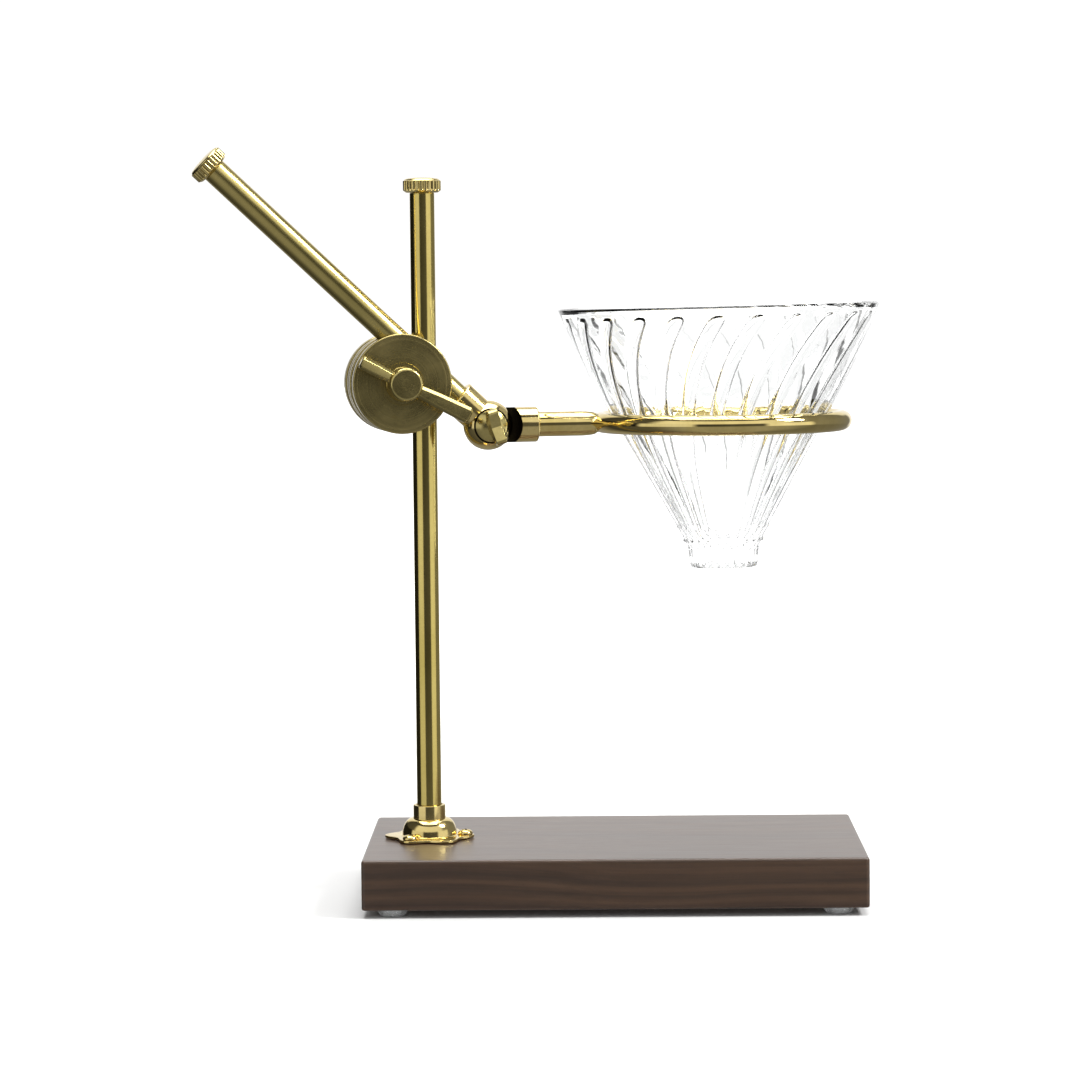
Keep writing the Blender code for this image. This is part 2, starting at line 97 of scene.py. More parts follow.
CLAMP = T(bolt_at * MM) @ R('Z', YAW)
ARM = CLAMP @ at(0, -ROD_GAP, 0) @ R('Y', ARM_TILT)
KNUCKLE = ARM @ at(BALL_AT, 0, ROD_OFFSET)
RING_FRAME = KNUCKLE @ R('Y', -ARM_TILT)
LEVEL = RING_FRAME @ R('X', RING_TWIST)
DRIPPER = LEVEL @ at(RING_AT, 0, 0) @ R('Y', -GLASS_LEAN)
JAW, OUTER_T, INNER_T = 4.0, 4.2, 3.6
FACE_Y = -(ROD_GAP + JAW / 2 + OUTER_T)
LEVER_ANGLE, KEY_ANGLE = 27.3, -17.0
LEVER = CLAMP @ at(0, FACE_Y - FIT, 0) @ R('Y', LEVER_ANGLE)
KEY = RING_FRAME
FRONT = R('X', 90)                      # local +Z turned to the front
base_lo, base_hi = box("walnut_base")
TOP_Z = base_hi.z
PLATE_Z0 = TOP_Z + FIT
POST = at(post_xy.x, post_xy.y, 0)
POST_TOP = box("post_tube")[1].z
POST_FOOT = box("post_tube")[0].z

# ------------------------------------------------------------------ mesh helpers


def signed_volume(co, faces):
    v = 0.0
    for f in faces:
        if len(f) >= 3:
            a = co[f[0]]
            for i in range(1, len(f) - 1):
                v += float(np.dot(a, np.cross(co[f[i]], co[f[i + 1]])))
    return v


def piece(name, co, faces, matrix, sharp=35):
    """A closed mesh in millimetres becomes an object placed by its matrix, facing outwards."""
    co = np.asarray(co, float)
    if signed_volume(co, faces) < 0:
        faces = [tuple(reversed(f)) for f in faces]
    me = bpy.data.meshes.new(name)
    me.from_pydata((co * MM).tolist(), [], [tuple(int(i) for i in f) for f in faces])
    me.validate()
    me.update()
    me.shade_smooth()
    me.set_sharp_from_angle(angle=radians(sharp))
    ob = bpy.data.objects.new(name, me)
    bpy.context.scene.collection.objects.link(ob)
    ob.matrix_world = matrix
    return ob


def spun(name, profile, n, matrix, closed=False, sharp=35, angles=None):
    """Turns a profile of (radius, height) about Z. A radius may be a function of the angle array.
    closed joins the last point to the first; otherwise the ends close on the axis or with a flat cap."""
    t = np.arange(n) * 2 * pi / n if angles is None else angles
    n = len(t)
    co, rings = [], []
    for r, z in profile:
        rr = r(t) if callable(r) else np.full(n, float(r))
        if not callable(r) and abs(r) < 1e-9:
            rings.append([len(co)])
            co.append((0, 0, z))
        else:
            rings.append(list(range(len(co), len(co) + n)))
            co.extend(zip(rr * np.cos(t), rr * np.sin(t), np.full(n, float(z))))
    faces = []
    pairs = list(zip(rings, rings[1:])) + ([(rings[-1], rings[0])] if closed else [])
    for a, b in pairs:
        for i in range(n):
            j = (i + 1) % n
            if len(a) == 1 and len(b) == 1:
                continue
            if len(a) == 1:
                faces.append((a[0], b[i], b[j]))
            elif len(b) == 1:
                faces.append((a[i], b[0], a[j]))
            else:
                faces.append((a[i], b[i], b[j], a[j]))
    if not closed:
        if len(rings[0]) > 1:
            faces.append(tuple(rings[0]))
        if len(rings[-1]) > 1:
            faces.append(tuple(reversed(rings[-1])))
    return piece(name, co, faces, matrix, sharp)


def arc(cx, cz, r, a0, a1, n):
    return [(cx + r * cos(radians(a0 + (a1 - a0) * i / n)), cz + r * sin(radians(a0 + (a1 - a0) * i / n))) for i in range(n + 1)]


def lofted(name, loops, matrix, sharp=35):
    n = len(loops[0])
    co = [p for l in loops for p in l]
    faces = []
    for k in range(len(loops) - 1):
        for i in range(n):
            j = (i + 1) % n
            faces.append((k * n + i, k * n + j, (k + 1) * n + j, (k + 1) * n + i))
    faces.append(tuple(reversed(range(n))))
    faces.append(tuple(range((len(loops) - 1) * n, len(loops) * n)))
    return piece(name, co, faces, matrix, sharp)


def settle(ob, sharp=35):
    """Applies an object's modifiers to its mesh."""
    bpy.context.view_layer.update()
    dg = bpy.context.evaluated_depsgraph_get()
    me = bpy.data.meshes.new_from_object(ob.evaluated_get(dg), depsgraph=dg)
    old = ob.data
    ob.modifiers.clear()
    ob.data = me
    bpy.data.meshes.remove(old)
    me.shade_smooth()
    me.set_sharp_from_angle(angle=radians(sharp))
    return ob


def combine(ob, tools, sharp=35):
    """Booleans in order: tools is a list of (operation, tool object). The tools are removed."""
    for op, tool in tools:
        m = ob.modifiers.new(tool.name, 'BOOLEAN')
        m.operation, m.solver, m.object = op, 'EXACT', tool
    settle(ob, sharp)
    for _, tool in tools:
        data = tool.data
        bpy.data.objects.remove(tool, do_unlink=True)
        bpy.data.meshes.remove(data)
    return ob


def soften(ob, width, segments=2, angle=30, sharp=40):
    m = ob.modifiers.new("edge", 'BEVEL')
    m.width, m.segments, m.limit_method, m.angle_limit = width * MM, segments, 'ANGLE', radians(angle)
    m.harden_normals = False
    return settle(ob, sharp)


def slab(name, x0, x1, y0, y1, z0, z1, matrix):
    co = [(x, y, z) for z in (z0, z1) for y in (y0, y1) for x in (x0, x1)]
    faces = [(0, 1, 3, 2), (4, 6, 7, 5), (0, 4, 5, 1), (2, 3, 7, 6), (0, 2, 6, 4), (1, 5, 7, 3)]
    return piece(name, co, faces, matrix)


# ------------------------------------------------------------------ materials


class Nodes:
    """Small helper to build a node material."""

    def __init__(self, name):
        self.m = bpy.data.materials.new(name)
        self.m.use_nodes = True
        self.t = self.m.node_tree
        self.b = self.t.nodes["Principled BSDF"]
        self.coord = self.t.nodes.new("ShaderNodeTexCoord")

    def node(self, kind, **props):
        n = self.t.nodes.new(kind)
        for k, v in props.items():
            setattr(n, k, v)
        return n

    def link(self, a, b):
        self.t.links.new(a, b)

    def mapping(self, scale, source=None, location=(0, 0, 0), rotation=(0, 0, 0)):
        n = self.node("ShaderNodeMapping")
        n.inputs["Scale"].default_value = scale
        n.inputs["Location"].default_value = location
        n.inputs["Rotation"].default_value = rotation
        self.link(source or self.coord.outputs["Object"], n.inputs["Vector"])
        return n.outputs["Vector"]

    def noise(self, vector, scale=5.0, detail=4.0, rough=0.55, distortion=0.0):
        n = self.node("ShaderNodeTexNoise")
        n.inputs["Scale"].default_value = scale
        n.inputs["Detail"].default_value = detail
        n.inputs["Roughness"].default_value = rough
        n.inputs["Distortion"].default_value = distortion
        self.link(vector, n.inputs["Vector"])
        return n.outputs["Fac"]

    def ramp(self, fac, stops):
        n = self.node("ShaderNodeValToRGB")
        el = n.color_ramp.elements
        while len(el) > 2:
            el.remove(el[-1])
        for i, (p, c) in enumerate(stops):
            e = el[i] if i < 2 else el.new(p)
            e.position = p
            e.color = (*c, 1.0) if len(c) == 3 else c
        self.link(fac, n.inputs["Fac"])
        return n.outputs["Color"]

    def span(self, fac, lo, hi, a=0.0, b=1.0):
        n = self.node("ShaderNodeMapRange")
        n.inputs["From Min"].default_value = a
        n.inputs["From Max"].default_value = b
        n.inputs["To Min"].default_value = lo
        n.inputs["To Max"].default_value = hi
        self.link(fac, n.inputs["Value"])
        return n.outputs["Result"]

    def math(self, op, a, b=None):
        n = self.node("ShaderNodeMath", operation=op)
        for i, v in enumerate((a, b)):
            if v is None:
                continue
            if isinstance(v, (int, float)):
                n.inputs[i].default_value = v
            else:
                self.link(v, n.inputs[i])
        return n.outputs[0]

    def mix(self, fac, a, b, kind='MIX'):
        n = self.node("ShaderNodeMix", data_type='RGBA', blend_type=kind)
        for s, v in ((n.inputs[0], fac), (n.inputs[6], a), (n.inputs[7], b)):
            if isinstance(v, (int, float)):
                s.default_value = v
            elif isinstance(v, tuple):
                s.default_value = (*v, 1.0)
            else:
                self.link(v, s)
        return n.outputs[2]

    def bump(self, height, strength, distance, under=None):
        n = self.node("ShaderNodeBump")
        n.inputs["Strength"].default_value = strength
        n.inputs["Distance"].default_value = distance
        self.link(height, n.inputs["Height"])
        if under is not None:
            self.link(under, n.inputs["Normal"])
        return n.outputs["Normal"]


def brass(name, clean, worn, rough, marks, spread=0.35, patch=55.0, mark_depth=0.000012, coat=0.0):
    """Brass with a tarnish that varies over a centimetre or two, fine tool marks and uneven polish.
    marks is 'long' (drawn along Z), 'rings' (turned about Z), 'spun' (polished) or 'cast'."""
    k = Nodes(name)
    obj = k.coord.outputs["Object"]
    big = k.noise(k.mapping((1, 1, 0.35) if marks == 'long' else (1, 1, 1)), patch, 5, 0.6, 0.4)
    small = k.noise(obj, 900, 3, 0.6)
    tone = k.ramp(k.math('ADD', k.math('MULTIPLY', big, 0.8), k.math('MULTIPLY', small, 0.2)),
                  [(0.5 - spread / 2, worn), (0.5 + spread / 2, clean)])
    if marks == 'long':
        fine = k.noise(k.mapping((1500, 1500, 18)), 1.0, 3, 0.7)
        streak = k.noise(k.mapping((420, 420, 5)), 1.0, 2, 0.5)
    elif marks == 'rings':
        flat = k.mapping((1, 1, 0))
        radius = k.node("ShaderNodeVectorMath", operation='LENGTH')
        k.link(flat, radius.inputs[0])
        line = k.node("ShaderNodeCombineXYZ")
        k.link(k.math('MULTIPLY', radius.outputs["Value"], 5200.0), line.inputs["X"])
        fine = k.noise(line.outputs["Vector"], 1.0, 3, 0.75)
        line2 = k.node("ShaderNodeCombineXYZ")
        k.link(k.math('MULTIPLY', radius.outputs["Value"], 520.0), line2.inputs["X"])
        k.link(k.noise(obj, 60, 2, 0.5), line2.inputs["Y"])
        streak = k.noise(line2.outputs["Vector"], 1.0, 3, 0.6)
    elif marks == 'cast':
        fine = k.noise(obj, 1600, 4, 0.7)
        streak = k.noise(obj, 240, 3, 0.6)
    else:
        fine = k.noise(obj, 2600, 2, 0.6)
        streak = k.noise(obj, 120, 3, 0.5)
    colour = k.mix(k.span(streak, 0.0, 0.32, 0.35, 0.75), tone, tuple(c * 0.62 for c in worn))
    k.link(colour, k.b.inputs["Base Color"])
    k.b.inputs["Metallic"].default_value = 1.0
    varied = k.math('ADD', k.math('MULTIPLY', big, 0.5), k.math('MULTIPLY', fine, 0.5))
    k.link(k.span(varied, rough * 0.65, rough * 1.4, 0.3, 0.7), k.b.inputs["Roughness"])
    n1 = k.bump(fine, 0.5, mark_depth)
    n2 = k.bump(streak, 0.35, mark_depth * 3.0, n1)
    k.link(n2, k.b.inputs["Normal"])
    return k.m


MAT = {}
MAT["drawn"] = brass("brass_drawn", (0.78, 0.62, 0.22), (0.56, 0.45, 0.13), 0.13, 'long', mark_depth=0.000004)
MAT["satin"] = brass("brass_satin", (0.70, 0.57, 0.22), (0.50, 0.41, 0.14), 0.24, 'long', mark_depth=0.000004)
MAT["turned"] = brass("brass_turned", (0.52, 0.42, 0.17), (0.34, 0.28, 0.11), 0.27, 'rings', mark_depth=0.000010)
MAT["milled"] = brass("brass_milled", (0.66, 0.54, 0.22), (0.46, 0.38, 0.14), 0.22, 'cast', mark_depth=0.000006)
MAT["bright"] = brass("brass_bright", (0.88, 0.71, 0.32), (0.72, 0.56, 0.21), 0.12, 'spun', mark_depth=0.000003)
MAT["polished"] = brass("brass_polished", (0.88, 0.71, 0.31), (0.72, 0.56, 0.20), 0.06, 'spun', mark_depth=0.000002)
MAT["cap"] = brass("brass_cap", (0.86, 0.70, 0.31), (0.62, 0.49, 0.18), 0.18, 'cast', mark_depth=0.000006)
# painted shade: a near-black copy of brass, put on the key groove and the relief wall of the knuckle where those gaps
# fall into shadow
MAT["shade"] = brass("brass_painted_gap_shade", (0.045, 0.034, 0.016), (0.020, 0.015, 0.008), 0.45, 'cast', mark_depth=0.000006)


def walnut():
    k = Nodes("walnut_oiled")
    obj = k.coord.outputs["Object"]
    warp = k.node("ShaderNodeTexNoise")
    warp.inputs["Scale"].default_value = 7.0
    warp.inputs["Detail"].default_value = 3.0
    k.link(k.mapping((0.35, 1.0, 1.0)), warp.inputs["Vector"])
    add = k.node("ShaderNodeVectorMath", operation='MULTIPLY_ADD')
    k.link(warp.outputs["Color"], add.inputs[0])
    add.inputs[1].default_value = (0.0, 0.035, 0.035)
    k.link(obj, add.inputs[2])
    # growth rings about a line far below the board, so the faces show long grain and the ends show arcs
    heart = k.mapping((0.02, 1, 1), add.outputs[0], location=(0, 0.035, 0.11))
    flat = k.node("ShaderNodeVectorMath", operation='MULTIPLY')
    k.link(heart, flat.inputs[0])
    flat.inputs[1].default_value = (0.35, 1, 1)
    dist = k.node("ShaderNodeVectorMath", operation='LENGTH')
    k.link(flat.outputs[0], dist.inputs[0])
    line = k.node("ShaderNodeCombineXYZ")
    k.link(k.math('MULTIPLY', dist.outputs["Value"], 210.0), line.inputs["X"])
    rings = k.noise(line.outputs["Vector"], 1.0, 4, 0.62)
    fibre = k.noise(k.mapping((14, 900, 900), add.outputs[0]), 1.0, 4, 0.7)
    pores = k.noise(k.mapping((55, 2600, 2600), add.outputs[0]), 1.0, 3, 0.75)
    broad = k.noise(k.mapping((3.0, 26, 26), add.outputs[0]), 1.0, 3, 0.55)
    mixv = k.math('ADD', k.math('MULTIPLY', rings, 0.55), k.math('ADD', k.math('MULTIPLY', fibre, 0.25), k.math('MULTIPLY', broad, 0.2)))
    colour = k.ramp(mixv, [(0.30, (0.017, 0.0078, 0.0036)), (0.44, (0.038, 0.0180, 0.0080)), (0.55, (0.062, 0.0300, 0.0130)), (0.70, (0.105, 0.053, 0.024))])
    dark_pores = k.span(pores, 0.0, 0.75, 0.60, 0.78)
    k.link(k.mix(dark_pores, colour, (0.018, 0.010, 0.007)), k.b.inputs["Base Color"])
    k.link(k.span(k.math('ADD', k.math('MULTIPLY', fibre, 0.6), k.math('MULTIPLY', pores, 0.4)), 0.30, 0.48, 0.3, 0.7), k.b.inputs["Roughness"])
    k.b.inputs["Specular IOR Level"].default_value = 0.5
    k.b.inputs["Coat Weight"].default_value = 0.52
    k.b.inputs["Coat Roughness"].default_value = 0.30
    n1 = k.bump(fibre, 0.35, 0.00004)
    n2 = k.bump(k.math('SUBTRACT', 1.0, dark_pores), 0.5, 0.00006, n1)
    k.link(n2, k.b.inputs["Normal"])
    return k.m


def clear_glass():
    k = Nodes("glass_clear")
    obj = k.coord.outputs["Object"]
    k.b.inputs["Base Color"].default_value = (0.995, 1.0, 0.998, 1)
    k.b.inputs["Transmission Weight"].default_value = 1.0
    k.b.inputs["IOR"].default_value = 1.48
    wave = k.noise(obj, 55, 3, 0.5)
    pit = k.noise(obj, 700, 2, 0.5)
    k.link(k.span(pit, 0.0, 0.012, 0.45, 0.8), k.b.inputs["Roughness"])
    k.link(k.bump(wave, 0.30, 0.0005), k.b.inputs["Normal"])
    return k.m


def clear_rubber():
    k = Nodes("rubber_clear")
    obj = k.coord.outputs["Object"]
    k.link(k.ramp(k.noise(obj, 300, 3, 0.5), [(0.3, (0.80, 0.83, 0.83)), (0.7, (0.93, 0.95, 0.95))]), k.b.inputs["Base Color"])
    k.b.inputs["Transmission Weight"].default_value = 0.85
    k.b.inputs["IOR"].default_value = 1.45
    k.link(k.span(k.noise(obj, 900, 3, 0.6), 0.10, 0.30, 0.3, 0.7), k.b.inputs["Roughness"])
    k.link(k.bump(k.noise(obj, 1400, 2, 0.5), 0.2, 0.00003), k.b.inputs["Normal"])
    return k.m


MAT["walnut"] = walnut()
MAT["glass"] = clear_glass()
MAT["rubber"] = clear_rubber()


def finish_piece(ob, node, body, mat, level=False, second=None):
    """level puts the turn of the object into its mesh, so the object's own axes are the frame's.
    second is (material, test) for the faces whose centre, in local millimetres, passes the test."""
    ob.data.materials.clear()
    ob.data.materials.append(MAT[mat])
    if second:
        ob.data.materials.append(MAT[second[0]])
        for f in ob.data.polygons:
            f.material_index = 1 if second[1](f.center / MM, f.normal) else 0
    if node != "glass_dripper":
        w = ob.modifiers.new("weighted", 'WEIGHTED_NORMAL')
        w.mode, w.weight, w.keep_sharp = 'FACE_AREA', 50, True
        bpy.context.view_layer.update()
        dg = bpy.context.evaluated_depsgraph_get()
        me = bpy.data.meshes.new_from_object(ob.evaluated_get(dg), depsgraph=dg)
        ob.modifiers.clear()
        ob.data = me
    if level:
        place = ob.matrix_world.copy()
        ob.data.transform(place.to_3x3().to_4x4())
        ob.matrix_world = T(place.translation)
    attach(ob, body)
    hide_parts(node)
    return ob


# ------------------------------------------------------------------ base, feet
bw, bd, bt = (base_hi - base_lo)
mid = (base_hi + base_lo) / 2
BASE = at(mid.x, mid.y, 0)
EDGE = 1.2


def board():
    """The board: rounded vertical corners and softly broken edges, eased a little more on top."""
    def outline(inset, r):
        pts = []
        hx, hy = bw / 2 - inset, bd / 2 - inset
        for cx, cy, a in ((hx - r, hy - r, 0), (-hx + r, hy - r, 90), (-hx + r, -hy + r, 180), (hx - r, -hy + r, 270)):
            for i in range(7):
                t = radians(a + 15 * i)
                pts.append((cx + r * cos(t), cy + r * sin(t)))
        return pts
    loops = []
    for i in range(6):
        t = pi / 2 * i / 5
        loops.append((0.8 * (1 - sin(t)), base_lo.z + 0.8 * (1 - cos(t))))
    for k in range(1, 8):
        loops.append((0.0, base_lo.z + 0.8 + (bt - 2.0) * k / 8))
    for i in range(7):
        t = pi / 2 * i / 6
        loops.append((1.2 * (1 - cos(t)), base_hi.z - 1.2 + 1.2 * sin(t)))
    return lofted("fine_walnut_base", [[(x, y, z) for x, y in outline(d, max(0.6, 1.5 - d))] for d, z in loops], BASE, 40)


SCREW_PITCH_R, SCREW_R, SCREW_L = 13.9, 1.45, 10.0
PLATE_Z1 = PLATE_Z0 + 1.1
HEAD_Z0 = PLATE_Z1 + 0.05
screw_places = [(post_xy.x + SCREW_PITCH_R * cos(radians(120 * k)), post_xy.y + SCREW_PITCH_R * sin(radians(120 * k))) for k in range(3)]


def pilots(tag):
    return [('DIFFERENCE', spun(f"{tag}_{i}", [(0, HEAD_Z0 - SCREW_L - 0.6), (SCREW_R + 0.15, HEAD_Z0 - SCREW_L), (SCREW_R + 0.15, HEAD_Z0 + 1), (0, HEAD_Z0 + 1)], 24, at(x, y, 0)))
            for i, (x, y) in enumerate(screw_places)]


finish_piece(combine(board(), pilots("bp"), 40), "walnut_base", "stand", "walnut")

for node in ("foot_front_left", "foot_front_right", "foot_rear_left", "foot_rear_right"):
    lo, hi = box(node)
    c = (lo + hi) / 2
    prof = [(0, 0), (2.8, 0.0), (3.5, 0.03)] + [(3.5 + 2.25 * sin(pi / 2 * i / 9), 0.03 + 2.6 * (1 - cos(pi / 2 * i / 9)) ** 0.9) for i in range(1, 10)] + [(5.72, 2.95), (0, 2.95)]
    finish_piece(spun("fine_" + node, prof, 56, at(c.x, c.y, 0), sharp=50), node, "stand", "rubber")

# ------------------------------------------------------------------ flange, screws
BELL_R, BELL_H, COLLAR_R, COLLAR_H = 10.55, 6.6, 6.25, 5.3
BELL_Z1 = PLATE_Z1 + BELL_H
COLLAR_Z1 = BELL_Z1 + COLLAR_H


def lobe(inset):
    def f(t):
        r = 15.8 + 1.6 * np.cos(6 * t)
        return r - inset
    return f


bell = []
for i in range(15):
    t = i / 14 * pi / 2
    bell.append((COLLAR_R + (BELL_R - COLLAR_R) * max(0.0, cos(t)) ** 0.9, PLATE_Z1 + 0.35 + (BELL_H - 0.35) * sin(t)))
flange_profile = ([(5.0, PLATE_Z0), (lobe(0.25), PLATE_Z0), (lobe(0.0), PLATE_Z0 + 0.2), (lobe(0.0), PLATE_Z1 - 0.3), (lobe(0.1), PLATE_Z1 - 0.1), (lobe(0.35), PLATE_Z1),
                   (BELL_R + 0.9, PLATE_Z1), (BELL_R + 0.35, PLATE_Z1 + 0.06), (BELL_R + 0.05, PLATE_Z1 + 0.3)] + bell[1:-1] +
                  [(COLLAR_R + 0.02, BELL_Z1 - 0.05), (COLLAR_R, BELL_Z1 + 0.2), (COLLAR_R, COLLAR_Z1 - 0.45), (COLLAR_R - 0.15, COLLAR_Z1 - 0.12), (COLLAR_R - 0.5, COLLAR_Z1),
                   (5.1, COLLAR_Z1), (4.95, COLLAR_Z1 - 0.2), (4.95, PLATE_Z0 + 2.0), (5.0, PLATE_Z0 + 1.9)])
flange = spun("fine_base_flange", flange_profile, 180, POST, closed=True, sharp=38)
finish_piece(combine(flange, pilots("fp"), 38), "base_flange", "stand", "bright")

for i, (x, y) in enumerate(screw_places):
    node = "flange_screw_%d" % (i + 1)
    prof = [(0, HEAD_Z0 - SCREW_L), (0.35, HEAD_Z0 - SCREW_L), (1.0, HEAD_Z0 - SCREW_L + 1.8)]
    z = HEAD_Z0 - SCREW_L + 1.8
    while z < HEAD_Z0 - 2.2:
        prof += [(1.38, z + 0.4), (1.05, z + 0.8)]
        z += 0.8
    prof += [(1.4, HEAD_Z0 - 0.9), (1.4, HEAD_Z0 - 0.05), (2.75, HEAD_Z0), (2.9, HEAD_Z0 + 0.15), (2.9, HEAD_Z0 + 0.45)]
    prof += [(2.9 * cos(a), HEAD_Z0 + 0.45 + 1.5 * sin(a)) for a in (pi / 2 * s / 9 for s in range(1, 9))] + [(0, HEAD_Z0 + 1.95)]
    head = spun("fine_" + node, prof, 48, at(x, y, 0), sharp=40)
    turn = 20 + 35 * i
    cross = [('DIFFERENCE', slab(f"x{i}{j}", -1.5, 1.5, -0.3, 0.3, HEAD_Z0 + 0.8, HEAD_Z0 + 3, at(x, y, 0) @ R('Z', turn + 90 * j))) for j in range(2)]
    finish_piece(combine(head, cross, 40), node, "stand", "bright")

# ------------------------------------------------------------------ rods and caps
TUBE_R, TUBE_BORE_R = 4.7625, 3.75


def tube(name, length, matrix):
    prof = [(TUBE_BORE_R + 0.12, 0)] + [(TUBE_R - 0.3, 0), (TUBE_R - 0.09, 0.09), (TUBE_R, 0.3)]
    prof += [(TUBE_R, 0.3 + (length - 0.6) * k / 24) for k in range(1, 24)]
    prof += [(TUBE_R, length - 0.3), (TUBE_R - 0.09, length - 0.09), (TUBE_R - 0.3, length), (TUBE_BORE_R + 0.12, length), (TUBE_BORE_R, length - 0.12), (TUBE_BORE_R, 0.12)]
    return spun(name, prof, 96, matrix, closed=True, sharp=50)


def knurl(depth, flutes=26):
    def f(t):
        u = np.abs(((t * flutes / (2 * pi)) % 1.0) - 0.5) * 2          # 0 on the ridge, 1 in the groove
        return 7.3 - depth * np.clip((u - 0.35) / 0.65, 0, 1) ** 1.3
    return f


def cap(name, matrix):
    prof = [(0, -7.0), (2.9, -7.0), (3.3, -6.7), (3.45, -6.3), (3.45, 0.12), (3.6, 0.0), (5.7, 0.0), (6.1, 0.06), (6.6, 0.35), (7.0, 0.72), (knurl(0.1), 0.85), (knurl(0.34), 1.0), (knurl(0.46), 1.2)]
    prof += [(knurl(0.46), 1.2 + 3.0 * k / 4) for k in range(1, 5)]
    prof += [(knurl(0.34), 4.4), (knurl(0.1), 4.55), (6.98, 4.7), (6.85, 4.85), (6.7, 4.98)]
    prof += [(6.7 * cos(a), 4.98 + 0.9 * sin(a)) for a in (pi / 2 * s / 12 for s in range(1, 12))] + [(0, 5.88)]
    return spun(name, prof, 26 * 10, matrix, sharp=32)


finish_piece(tube("fine_post_tube", POST_TOP - POST_FOOT, POST @ at(0, 0, POST_FOOT)), "post_tube", "post", "drawn")
finish_piece(cap("fine_post_cap", POST @ at(0, 0, POST_TOP + 0.05)), "post_cap", "post", "cap")

ARM_TAIL = -106.4
ARM_COLLAR_R, ARM_COLLAR_L = 6.8, 16.3
ARM_AXIS = ARM @ at(ARM_TAIL, 0, ROD_OFFSET) @ R('Y', 90)
finish_piece(tube("fine_arm_tube", BALL_AT - ARM_COLLAR_L + 4.6 - ARM_TAIL, ARM_AXIS), "arm_tube", "arm", "satin")
finish_piece(cap("fine_arm_end_cap", ARM_AXIS @ at(0, 0, -0.05) @ R('X', 180)), "arm_end_cap", "arm", "cap")

# ------------------------------------------------------------------ clamp
DISC_R, BOLT_R = 19.05, 3.0


def disc(t, name, matrix, front=False):
    h = BOLT_R + 0.25
    e, b = 0.55, 0.55
    face = [(DISC_R, t - e)] + [(DISC_R - e + e * cos(a), t - e + e * sin(a)) for a in (pi / 2 * s / 5 for s in range(1, 6))]
    if front:
        for g, depth in ((17.2, 0.05), (13.6, 0.03), (10.4, 0.04)):
            face += [(g + 0.45, t), (g + 0.2, t), (g, t - depth), (g - 0.2, t), (g - 0.45, t)]
        face += [(8.3, t), (8.1, t), (7.95, t - 0.1), (7.7, t - 0.1), (7.4, t - 0.1)]
        face += [(h + 0.5, t - 0.1), (h + 0.3, t - 0.12), (h, t - 0.35)]
    else:
        face += [(h + 0.3, t), (h, t - 0.3)]
    rear = [(DISC_R - b + b * cos(a), b - b * sin(a)) for a in (pi / 2 * s / 5 for s in range(5, 0, -1))]
    prof = [(h, 0.3), (h + 0.3, 0)] + rear + [(DISC_R, b)] + face
    return spun(name, prof, 160, matrix, closed=True, sharp=30)


def rod_tool(name, r, z0, z1, matrix, n=64):
    return spun(name, [(0, z0), (r, z0), (r, z1), (0, z1)], n, matrix)


post_line = CLAMP @ at(ROD_OFFSET, 0, 0)
arm_line = ARM @ at(0, 0, ROD_OFFSET) @ R('Y', 90)
G = TUBE_R + 0.2
finish_piece(combine(disc(OUTER_T, "fine_clamp_back_disc", CLAMP @ at(0, JAW / 2 + OUTER_T, 0) @ FRONT), [('DIFFERENCE', rod_tool("t1", G, -60, 60, post_line))], 30),
             "clamp_back_disc", "clamp", "turned")
finish_piece(combine(disc(INNER_T, "fine_clamp_post_disc", CLAMP @ at(0, -JAW / 2, 0) @ FRONT), [('DIFFERENCE', rod_tool("t2", G, -60, 60, post_line))], 30),
             "clamp_post_disc", "clamp", "turned")
finish_piece(combine(disc(INNER_T, "fine_clamp_arm_disc", ARM @ at(0, JAW / 2 + INNER_T, 0) @ FRONT), [('DIFFERENCE', rod_tool("t3", G, -60, 60, arm_line))], 30),
             "clamp_arm_disc", "arm_grip", "turned")
finish_piece(combine(disc(OUTER_T, "fine_clamp_front_disc", ARM @ at(0, -JAW / 2, 0) @ FRONT, True), [('DIFFERENCE', rod_tool("t4", G, -60, 60, arm_line))], 30),
             "clamp_front_disc", "arm_grip", "turned")

LEVER_HUB_R, LEVER_HUB_H, LEVER_LONG, LEVER_SHORT, LEVER_SWEEP = 6.3, 9.6, 26.9, 19.4, 13.0
bolt_tip = -FACE_Y + FIT + LEVER_HUB_H - 2.6
back_y = JAW / 2 + OUTER_T + FIT
HEAD_R = 10.0 / sqrt(3)


def hexagon(scale):
    def f(t):
        a = (t + pi / 6) % (pi / 3) - pi / 6
        flat = (10.0 / 2) / np.cos((t % (pi / 3)) - pi / 6)
        return np.minimum(flat, scale)
    return f


prof = [(0, -back_y - 4.0), (4.1, -back_y - 4.0), (4.55, -back_y - 3.9)]
prof += [(hexagon(4.95), -back_y - 3.75), (hexagon(5.25), -back_y - 3.55), (hexagon(5.55), -back_y - 3.3), (hexagon(5.8), -back_y - 3.0)]
prof += [(hexagon(5.8), -back_y - 0.5), (hexagon(5.4), -back_y - 0.15), (4.9, -back_y), (BOLT_R, -back_y)]
z = -back_y + 6.0
prof += [(BOLT_R, z)]
while z < bolt_tip - 1.2:
    prof += [(BOLT_R - 0.38, z + 0.45), (BOLT_R, z + 0.9)]
    z += 0.9
prof += [(BOLT_R - 0.6, bolt_tip), (0, bolt_tip)]
finish_piece(spun("fine_clamp_bolt", prof, 96, CLAMP @ FRONT, sharp=28), "clamp_bolt", "clamp", "milled")


